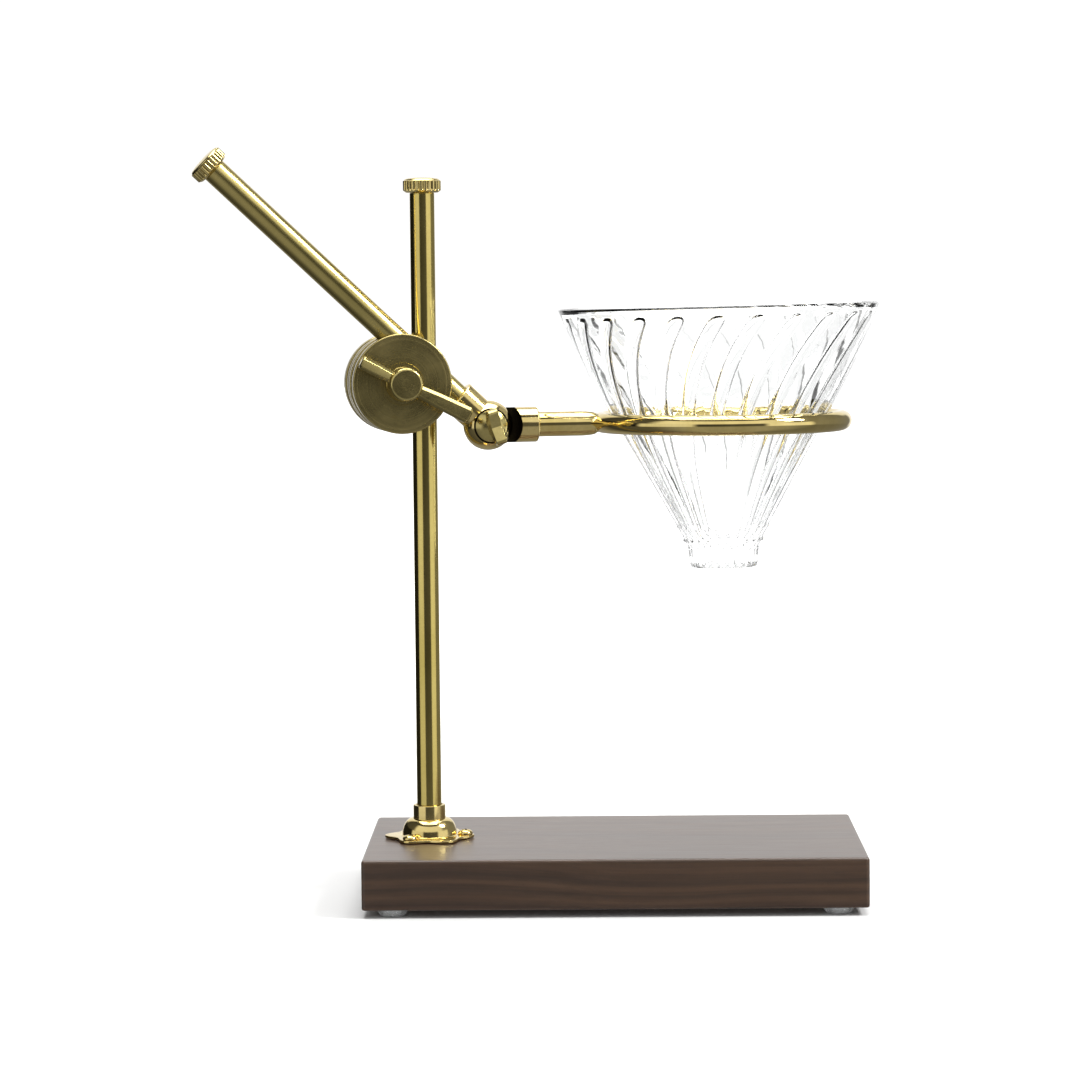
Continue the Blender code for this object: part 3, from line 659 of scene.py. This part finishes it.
# wing lever: +Z to the front, X along the bar
def lever_bar(name, matrix):
    rise = sin(radians(LEVER_SWEEP))
    stations = [(-LEVER_SHORT, 3.6, 3.0), (-LEVER_SHORT + 0.35, 4.4, 3.9), (-LEVER_SHORT + 0.9, 5.0, 4.5), (-LEVER_SHORT * 0.75, 5.1, 4.85), (-LEVER_SHORT * 0.55, 4.9, 5.0), (-8.0, 4.65, 5.2),
                (-4.5, 4.4, 5.4), (4.5, 4.4, 5.4), (8.0, 4.9, 5.25), (LEVER_LONG * 0.5, 5.6, 5.0), (LEVER_LONG * 0.75, 6.0, 4.85), (LEVER_LONG - 1.1, 6.3, 4.6), (LEVER_LONG - 0.4, 5.7, 4.0), (LEVER_LONG, 4.7, 3.0)]
    loops = []
    for x, w, t in stations:
        zc = 4.9 + max(0.0, abs(x) - 4.5) * rise
        c = 1.15
        hw, ht = w / 2, t / 2
        pts = []
        for sy, sz in ((-1, -1), (-1, 1), (1, 1), (1, -1)):
            corner = [(sy * hw, sz * (ht - c - 0.12)), (sy * (hw - 0.06), sz * (ht - c + 0.06)), (sy * (hw - c + 0.06), sz * (ht - 0.06)), (sy * (hw - c - 0.12), sz * ht)]
            pts += corner if (sy * sz) < 0 else corner[::-1]
        loops.append([(x, y, zc + q) for y, q in pts])
    return lofted(name, loops, matrix, 30)


H = LEVER_HUB_H
prof = [(0, 0), (LEVER_HUB_R + 0.35, 0), (LEVER_HUB_R + 0.35, 0.7), (LEVER_HUB_R + 0.2, 1.0), (LEVER_HUB_R, 1.25), (LEVER_HUB_R, H - 1.1)]
prof += [(LEVER_HUB_R - 1.1 + 1.1 * cos(a), H - 1.1 + 1.1 * sin(a)) for a in (pi / 2 * s / 7 for s in range(1, 8))] + [(2.4, H), (1.9, H - 0.05), (0, H - 0.05)]
lever = spun("fine_wing_lever", prof, 96, LEVER @ FRONT, sharp=30)
combine(lever, [('UNION', lever_bar("bar", LEVER @ FRONT)), ('DIFFERENCE', rod_tool("lh", BOLT_R + 0.2, -3, H - 2.2, LEVER @ FRONT))], 28)
finish_piece(lever, "wing_lever", "lever", "milled")

# ------------------------------------------------------------------ knuckle
BALL_R, RELIEF_R, RING_RELIEF_R = 9.55, 11.3, 12.3
RING_COLLAR_R, RING_COLLAR_L = 6.75, 19.2
KEY_HEAD_R, KEY_SEAT, KEY_W, KEY_T, KEY_OUT = 6.1, 6.3, 13.8, 3.4, 19.6


def ball(name, matrix):
    return spun(name, [(0, -BALL_R)] + [(BALL_R * cos(a), BALL_R * sin(a)) for a in (-pi / 2 + pi * s / 48 for s in range(1, 48))] + [(0, BALL_R)], 112, matrix, sharp=30)


def collar(name, r, x0, x1, matrix, end):
    """A collar along +X from x0 to x1, rounded at the end named."""
    e = 0.7
    soft = [(r - e + e * cos(a), e - e * sin(a)) for a in (pi / 2 * s / 6 for s in range(7))]     # from (r, e) to (r-e, 0)
    if end == 'high':
        prof = [(0, x0), (r, x0)] + [(q, x1 - z) for q, z in soft] + [(0, x1)]
    else:
        prof = [(0, x0)] + [(q, x0 + z) for q, z in reversed(soft)] + [(r, x1), (0, x1)]
    return spun(name, prof, 96, matrix @ R('Y', 90), sharp=30)


half = ball("fine_arm_knuckle_half", KNUCKLE @ FRONT)
combine(half, [('UNION', collar("ac", ARM_COLLAR_R, -ARM_COLLAR_L, -1.0, KNUCKLE, 'low')),
               ('DIFFERENCE', rod_tool("rr", RELIEF_R, -20, 0.05, KNUCKLE @ FRONT, 128)),
               ('DIFFERENCE', rod_tool("as", TUBE_R + 0.12, -ARM_COLLAR_L - 5, -ARM_COLLAR_L + 4.9, KNUCKLE @ R('Y', 90))),
               ('DIFFERENCE', spun("ks", [(0, KEY_SEAT), (KEY_HEAD_R + 0.5, KEY_SEAT), (KEY_HEAD_R + 0.5, BALL_R * 0.72), (KEY_HEAD_R + 0.9, BALL_R * 0.85), (KEY_HEAD_R + 3, 20), (0, 20)], 96, KNUCKLE @ FRONT)),
               ('DIFFERENCE', rod_tool("ph", 2.2, -6.6, 20, KNUCKLE @ FRONT, 48))], 30)
# painted shade: the faces of the groove round the key head get the near-black 'shade' material, a dark ring where the
# groove falls into shadow
finish_piece(half, "arm_knuckle_half", "knuckle", "bright",
             second=("shade", lambda c, n: sqrt(c.x ** 2 + c.y ** 2) < KEY_HEAD_R + 0.6 and c.z > KEY_SEAT - 0.1))

half = ball("fine_ring_knuckle_half", RING_FRAME @ FRONT)
combine(half, [('UNION', collar("rc", RING_COLLAR_R, 1.0, RING_COLLAR_L, RING_FRAME, 'high')),
               ('DIFFERENCE', rod_tool("fr", RING_RELIEF_R, -0.05, 20, RING_FRAME @ FRONT, 128)),
               ('DIFFERENCE', rod_tool("ss", 4.7625 + 0.1, RING_COLLAR_L - 5.6, RING_COLLAR_L + 5, RING_FRAME @ R('Y', 90))),
               ('DIFFERENCE', rod_tool("pi", 2.2, -6.6, 20, RING_FRAME @ FRONT, 48))], 30)
# painted shade: the relief wall round the ball and the flat mid-plane face get the near-black 'shade' material, the
# dark crescent of shadow between the ball and the ring collar
finish_piece(half, "ring_knuckle_half", "holder", "bright",
             second=("shade", lambda c, n: (abs(sqrt(c.x ** 2 + c.y ** 2) - RING_RELIEF_R) < 0.2 and c.z > -0.1) or (abs(c.z + 0.05) < 0.01 and n.z > 0.9)))

dome = [(0, -6.2), (1.6, -6.2), (2.0, -5.8), (2.0, KEY_SEAT + 0.05), (KEY_HEAD_R - 0.3, KEY_SEAT + 0.05), (KEY_HEAD_R, KEY_SEAT + 0.3)]
a0 = 50.2
dome += [(BALL_R * cos(radians(a0 + (90 - a0) * i / 16)), BALL_R * sin(radians(a0 + (90 - a0) * i / 16))) for i in range(16)] + [(0, BALL_R)]
key = spun("fine_knuckle_screw", dome, 96, KEY @ FRONT, sharp=30)


def paddle(name, matrix):
    """A flat thumb key seen edge-on from the front: outline in X-Z, thickness along Y, its outer edge a shallow roof."""
    half_outline = [(2.6, BALL_R - 1.6), (2.75, BALL_R + 0.2), (3.3, BALL_R + 1.5), (4.6, BALL_R + 2.8), (6.0, BALL_R + 3.9), (6.7, BALL_R + 5.0), (6.9, BALL_R + 6.4),
                    (6.9, KEY_OUT - 1.6), (6.6, KEY_OUT - 0.7), (6.0, KEY_OUT - 0.15), (5.2, KEY_OUT), (0.25, KEY_OUT - 2.1), (0.0, KEY_OUT - 2.15)]
    right = half_outline
    left = [(-x, z) for x, z in reversed(half_outline[:-1])]
    outline = right + left
    c = (0.0, (BALL_R + KEY_OUT) / 2 + 1)
    loops = []
    half = KEY_T / 2 + 0.25
    for y, s in ((-half, 0.965), (-half + 0.08, 0.985), (-half + 0.3, 1.0), (half - 0.3, 1.0), (half - 0.08, 0.985), (half, 0.965)):
        loops.append([(c[0] + (x - c[0]) * s, y, c[1] + (z - c[1]) * s if z > BALL_R + 0.5 else z) for x, z in outline])
    return lofted(name, loops, matrix, 22)


combine(key, [('UNION', paddle("pd", KEY @ R('Y', KEY_ANGLE - 90) @ FRONT))], 20)
finish_piece(key, "knuckle_screw", "key", "milled")

# ------------------------------------------------------------------ ring and stem
ring_prof = [(RING_RC + RING_R * cos(2 * pi * i / 40), RING_R * sin(2 * pi * i / 40)) for i in range(40)]
finish_piece(spun("fine_holder_ring", ring_prof, 240, LEVEL @ at(RING_AT, 0, 0), closed=True, sharp=60), "holder_ring", "holder", "polished", level=True)
end = RING_AT - RING_RC
s0 = RING_COLLAR_L - 5.2
stem_prof = [(0, s0), (4.45, s0), (4.76, s0 + 0.3)] + [(4.7625, s0 + 0.3 + (end - 9.5 - s0) * k / 10) for k in range(1, 11)]
stem_prof += [(4.7625 - 0.95 * (1 - cos(pi / 2 * s / 10)), end - 9.2 + 6.4 * sin(pi / 2 * s / 10)) for s in range(1, 11)]
stem_prof += [(3.4, end - 1.8), (0, end - 1.6)]
finish_piece(spun("fine_ring_stem", stem_prof, 96, LEVEL @ R('Y', 90), sharp=50), "ring_stem", "holder", "polished")

# ------------------------------------------------------------------ glass dripper
GLASS_TOP, GLASS_FOOT, WALL = 44.9, -56.8, 2.55
KNOTS = np.array([(-60, 13.0), (GLASS_FOOT, 13.0), (-52.0, 13.1), (-49.0, 13.6), (-46.5, 14.9), (-42.0, 17.3), (-30.0, 23.8), (-15.0, 32.2), (0.0, 40.7), (4.0, 43.0),
                  (10.0, 46.4), (18.0, 50.4), (26.0, 54.2), (34.0, 57.9), (40.0, 60.6), (43.7, 62.0), (48, 63.0)])
grid = np.arange(-60, 48.01, 0.2)
raw = np.interp(grid, KNOTS[:, 0], KNOTS[:, 1])
kern = np.exp(-0.5 * (np.arange(-20, 21) * 0.2 / 1.2) ** 2)
kern /= kern.sum()
smooth_r = np.convolve(np.pad(raw, 20, mode='edge'), kern, mode='valid')
tw_k = np.array([(-70, 0), (-44, 0), (-25, 0.3), (-17, 1.2), (-5, 3.6), (5, 6.6), (19, 11.4), (30, 16.4), (41, 23.4), (48, 28)])
raw_t = np.interp(grid, tw_k[:, 0], tw_k[:, 1])
kern2 = np.exp(-0.5 * (np.arange(-40, 41) * 0.2 / 3.5) ** 2)
kern2 /= kern2.sum()
smooth_t = np.convolve(np.pad(raw_t, 40, mode='edge'), kern2, mode='valid')


def r_out(h):
    return np.interp(h, grid, smooth_r)


def twist(h):
    return np.interp(h, grid, smooth_t)


N_RIB = 24
U = np.array([-0.5, -0.42, -0.35, -0.30, -0.27, -0.245, -0.22, -0.195, -0.17, -0.13, -0.07, 0.0, 0.07, 0.13, 0.17, 0.195, 0.22, 0.245, 0.27, 0.30, 0.35, 0.42])
PHASE = -8.2
uu = np.tile(U, N_RIB)
cell = np.repeat(np.arange(N_RIB), len(U))


def rib(h, r):
    """Height of the inside ribs at a height h, over the columns."""
    pitch = 2 * pi * r / N_RIB
    w = 0.21
    top, length = 41.8, 0.21 * 2 * pi * 58 / N_RIB
    scale = 1.0
    if h > top - length:
        q = (h - (top - length)) / length
        scale = sqrt(max(0.0, 1 - q * q)) if q < 1 else 0.0
    low = -43.5
    if h < low + 1.6:
        q = ((low + 1.6) - h) / 1.6
        scale = min(scale, sqrt(max(0.0, 1 - q * q)) if q < 1 else 0.0)
    if scale <= 0.02:
        return np.zeros_like(uu)
    ww = w * scale
    edge = 0.055
    s = np.clip((ww + edge / 2 - np.abs(uu)) / edge, 0, 1)
    s = s * s * (3 - 2 * s)
    crown = 1 - 0.45 * np.clip(np.abs(uu) / max(ww, 1e-3), 0, 1) ** 2
    depth = 1.25 if h > -10 else 1.25 - 0.5 * min(1.0, (-10 - h) / 30)
    return depth * min(1.0, scale * 1.3) * s * crown


def column_angle(h):
    a = radians(360.0 / N_RIB) * (cell + uu) + radians(PHASE + twist(h))
    return a


def ring_of(h, r):
    a = column_angle(h)
    return np.column_stack([r * np.sin(a), -r * np.cos(a), np.full(len(a), h)])


rows = []
fine_low = list(np.arange(GLASS_FOOT + 0.5, -39.0, 0.3))
outer_h = [GLASS_FOOT, GLASS_FOOT + 0.12, GLASS_FOOT + 0.3] + fine_low + list(np.arange(-38.0, GLASS_TOP - 1.2, 1.0)) + [GLASS_TOP - 1.25]
for h in outer_h:
    r = r_out(h) * np.ones(len(uu))
    pitch = 2 * pi * r_out(h) / N_RIB
    if h < GLASS_FOOT + 0.45:
        r -= 0.45 * (1 - (h - GLASS_FOOT) / 0.45) ** 2
    # beads round the neck and short flutes under them
    r += 0.85 * np.exp(-(((h + 46.3) / 0.62) ** 2 + (uu * pitch / 0.75) ** 2))
    r += 0.45 * np.exp(-(((h + 41.0) / 0.45) ** 2 + (uu * pitch / 0.5) ** 2))
    win = np.clip((-48.6 - h) / 0.8, 0, 1) * np.clip((h - (GLASS_FOOT + 0.9)) / 0.8, 0, 1)
    r += 0.42 * win * np.cos(2 * pi * uu)
    rows.append(ring_of(h, r))
rt = r_out(GLASS_TOP)
for i in range(1, 10):
    a = pi * i / 10
    rows.append(ring_of(GLASS_TOP - 1.25 + 1.25 * sin(a), np.full(len(uu), rt - 1.3 + 1.3 * cos(a))))
inner_h = [GLASS_TOP - 1.25, GLASS_TOP - 1.8, GLASS_TOP - 2.3] + list(np.arange(42.4, 37.0, -0.3)) + list(np.arange(36.6, -39.5, -1.0)) + list(np.arange(-40.0, -46.0, -0.3)) + list(np.arange(-46.5, GLASS_FOOT + 0.5, -1.0)) + [GLASS_FOOT + 0.3]
for h in inner_h:
    wall = 2.6 if h > 36 else WALL
    r = r_out(h) - wall - rib(h, r_out(h))
    rows.append(ring_of(h, np.maximum(r, 9.2)))
rows.append(ring_of(GLASS_FOOT, np.full(len(uu), r_out(GLASS_FOOT) - WALL + 0.35)))
co = np.vstack(rows)
nt, nr = len(uu), len(rows)
idx = np.arange(nr * nt).reshape(nr, nt)
a, b = idx, np.roll(idx, -1, axis=0)
faces = np.stack([a, np.roll(a, -1, axis=1), np.roll(b, -1, axis=1), b], axis=-1).reshape(-1, 4)
tri = co[faces]
vol = np.einsum('ij,ij->i', tri[:, 0], np.cross(tri[:, 1], tri[:, 2])).sum() + np.einsum('ij,ij->i', tri[:, 0], np.cross(tri[:, 2], tri[:, 3])).sum()
if vol < 0:
    faces = faces[:, ::-1]
me = bpy.data.meshes.new("fine_glass_dripper")
me.from_pydata((co * MM).tolist(), [], faces.tolist())
me.validate()
me.update()
me.shade_smooth()
glass = bpy.data.objects.new("fine_glass_dripper", me)
bpy.context.scene.collection.objects.link(glass)
glass.matrix_world = DRIPPER
finish_piece(glass, "glass_dripper", "dripper", "glass", level=True)

# ------------------------------------------------------------------ floor, light, camera
me = bpy.data.meshes.new("studio_floor")
me.from_pydata([(-6, -6, 0), (6, -6, 0), (6, 6, 0), (-6, 6, 0)], [], [(0, 1, 2, 3)])
floor = bpy.data.objects.new("studio_floor", me)
bpy.context.scene.collection.objects.link(floor)
fm = bpy.data.materials.new("studio_white")
fm.use_nodes = True
fb = fm.node_tree.nodes["Principled BSDF"]
fb.inputs["Base Color"].default_value = (0.74, 0.74, 0.735, 1)
fb.inputs["Roughness"].default_value = 0.8
fb.inputs["Specular IOR Level"].default_value = 0.2
me.materials.append(fm)
floor.visible_glossy = False
# painted light: the floor glows white, not at all within 0.2 m of the origin and fully past 0.95 m, so the far floor
# turns white while the shadow near the base stays
fb.inputs["Emission Color"].default_value = (1, 1, 1, 1)
fc = fm.node_tree.nodes.new("ShaderNodeTexCoord")
fl = fm.node_tree.nodes.new("ShaderNodeVectorMath"); fl.operation = 'LENGTH'
fr = fm.node_tree.nodes.new("ShaderNodeMapRange"); fr.interpolation_type = 'SMOOTHSTEP'
fr.inputs["From Min"].default_value, fr.inputs["From Max"].default_value = 0.20, 0.95
fr.inputs["To Min"].default_value, fr.inputs["To Max"].default_value = 0.0, 1.0
fm.node_tree.links.new(fc.outputs["Object"], fl.inputs[0])
fm.node_tree.links.new(fl.outputs["Value"], fr.inputs["Value"])
fm.node_tree.links.new(fr.outputs["Result"], fb.inputs["Emission Strength"])
floor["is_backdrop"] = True

world = bpy.data.worlds.new("studio")
bpy.context.scene.world = world
world.use_nodes = True
t = world.node_tree
bg = t.nodes["Background"]
tc = t.nodes.new("ShaderNodeTexCoord")
sep = t.nodes.new("ShaderNodeSeparateXYZ")
t.links.new(tc.outputs["Generated"], sep.inputs[0])
neg = t.nodes.new("ShaderNodeMath"); neg.operation = 'MULTIPLY'; neg.inputs[1].default_value = -1.0
t.links.new(sep.outputs["Y"], neg.inputs[0])
az = t.nodes.new("ShaderNodeMath"); az.operation = 'ARCTAN2'
t.links.new(sep.outputs["X"], az.inputs[0])
t.links.new(neg.outputs[0], az.inputs[1])
norm = t.nodes.new("ShaderNodeMapRange")
norm.inputs["From Min"].default_value = -pi
norm.inputs["From Max"].default_value = pi
t.links.new(az.outputs[0], norm.inputs["Value"])


def world_ramp(source, stops):
    n = t.nodes.new("ShaderNodeValToRGB")
    el = n.color_ramp.elements
    for i, (p, v) in enumerate(stops):
        e = el[i] if i < 2 else el.new(p)
        e.position = p
        e.color = (v, v, v, 1)
    t.links.new(source, n.inputs["Fac"])
    return n.outputs["Color"]


def azp(deg):
    return (deg + 180.0) / 360.0


# azimuth 0 is behind the camera, +90 is to the right, 180 is the backdrop
def sky_mix(fac, a, b):
    n = t.nodes.new("ShaderNodeMix")
    n.data_type = 'RGBA'
    for socket, v in ((n.inputs[0], fac), (n.inputs[6], a), (n.inputs[7], b)):
        if isinstance(v, float):
            socket.default_value = (v, v, v, 1)
        else:
            t.links.new(v, socket)
    return n.outputs[2]


def between(lo, hi, sign=1.0):
    n = t.nodes.new("ShaderNodeMapRange")
    n.interpolation_type = 'SMOOTHSTEP'
    n.inputs["From Min"].default_value = lo * sign
    n.inputs["From Max"].default_value = hi * sign
    t.links.new(sep.outputs["Z"], n.inputs["Value"])
    return n.outputs[0]


level_band = world_ramp(norm.outputs[0], [(0.0, 1.0), (azp(-157), 1.0), (azp(-152), 0.015), (azp(-82), 0.015), (azp(-76), 0.85), (azp(-28), 0.80), (azp(-22), 0.06),
                                          (azp(36), 0.11), (azp(42), 1.0), (azp(84), 1.0), (azp(90), 0.26), (azp(152), 0.22), (azp(158), 1.0), (1.0, 1.0)])
upper_band = world_ramp(norm.outputs[0], [(0.0, 0.95), (azp(-150), 0.95), (azp(-140), 0.06), (azp(-75), 0.10), (azp(-60), 0.95), (azp(55), 0.95), (azp(70), 0.28), (azp(145), 0.20), (azp(152), 0.95), (1.0, 0.95)])
lower_band = world_ramp(norm.outputs[0], [(0.0, 0.30), (azp(-150), 0.30), (azp(-120), 0.05), (azp(-70), 0.12), (azp(-30), 0.34), (azp(50), 0.34), (azp(90), 0.16), (azp(150), 0.20), (1.0, 0.30)])
sky = sky_mix(between(0.225, 0.326), level_band, upper_band)
sky = sky_mix(between(0.74, 0.79), sky, 0.06)
sky = sky_mix(between(0.88, 0.92), sky, 1.15)
down = t.nodes.new("ShaderNodeMapRange")
down.interpolation_type = 'SMOOTHSTEP'
down.inputs["From Min"].default_value = -0.12
down.inputs["From Max"].default_value = -0.26
t.links.new(sep.outputs["Z"], down.inputs["Value"])
sky = sky_mix(down.outputs[0], sky, lower_band)
path = t.nodes.new("ShaderNodeLightPath")
through = t.nodes.new("ShaderNodeMath"); through.operation = 'MULTIPLY'; through.inputs[1].default_value = 0.28
t.links.new(path.outputs["Is Transmission Ray"], through.inputs[0])
sky = sky_mix(through.outputs[0], sky, 1.0)
sky = sky_mix(path.outputs["Is Camera Ray"], sky, 1.0)
t.links.new(sky, bg.inputs["Color"])
bg.inputs["Strength"].default_value = 1.05


def area(name, loc, target, size, power, size_y=None):
    l = bpy.data.lights.new(name, 'AREA')
    l.shape = 'RECTANGLE'
    l.size, l.size_y = size, size_y or size
    l.energy = power
    o = bpy.data.objects.new(name, l)
    bpy.context.scene.collection.objects.link(o)
    o.location = loc
    o.rotation_mode = 'QUATERNION'
    o.rotation_quaternion = (Vector(target) - Vector(loc)).to_track_quat('-Z', 'Y')
    return o


area("key_right", (1.15, -0.30, 1.15), (0.0, 0.0, 0.05), 0.45, 22.0)
area("top_soft", (0.0, 0.2, 1.7), (0.0, 0.0, 0.1), 1.4, 30.0)

cam = bpy.data.cameras.new("camera")
cam.sensor_width = 36.0
cam.lens = 110.68
cam.clip_start, cam.clip_end = 0.05, 40.0
co_ = bpy.data.objects.new("camera", cam)
bpy.context.scene.collection.objects.link(co_)
yw, pt, rl = radians(0.8923), radians(4.5489), radians(0.5441)
fwd = Vector((-sin(yw) * cos(pt), cos(yw) * cos(pt), -sin(pt)))
rgt = Vector((cos(yw), sin(yw), 0))
upv = rgt.cross(fwd)
r2 = cos(rl) * rgt - sin(rl) * upv
u2 = sin(rl) * rgt + cos(rl) * upv
m = Matrix((r2, u2, -fwd)).transposed().to_4x4()
m.translation = Vector((mid.x, mid.y, 0)) * MM + Vector((-0.007824, -1.279581, 0.239883))
co_.matrix_world = m
bpy.context.scene.camera = co_
bpy.context.scene.view_settings.view_transform = 'Standard'

lo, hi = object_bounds()
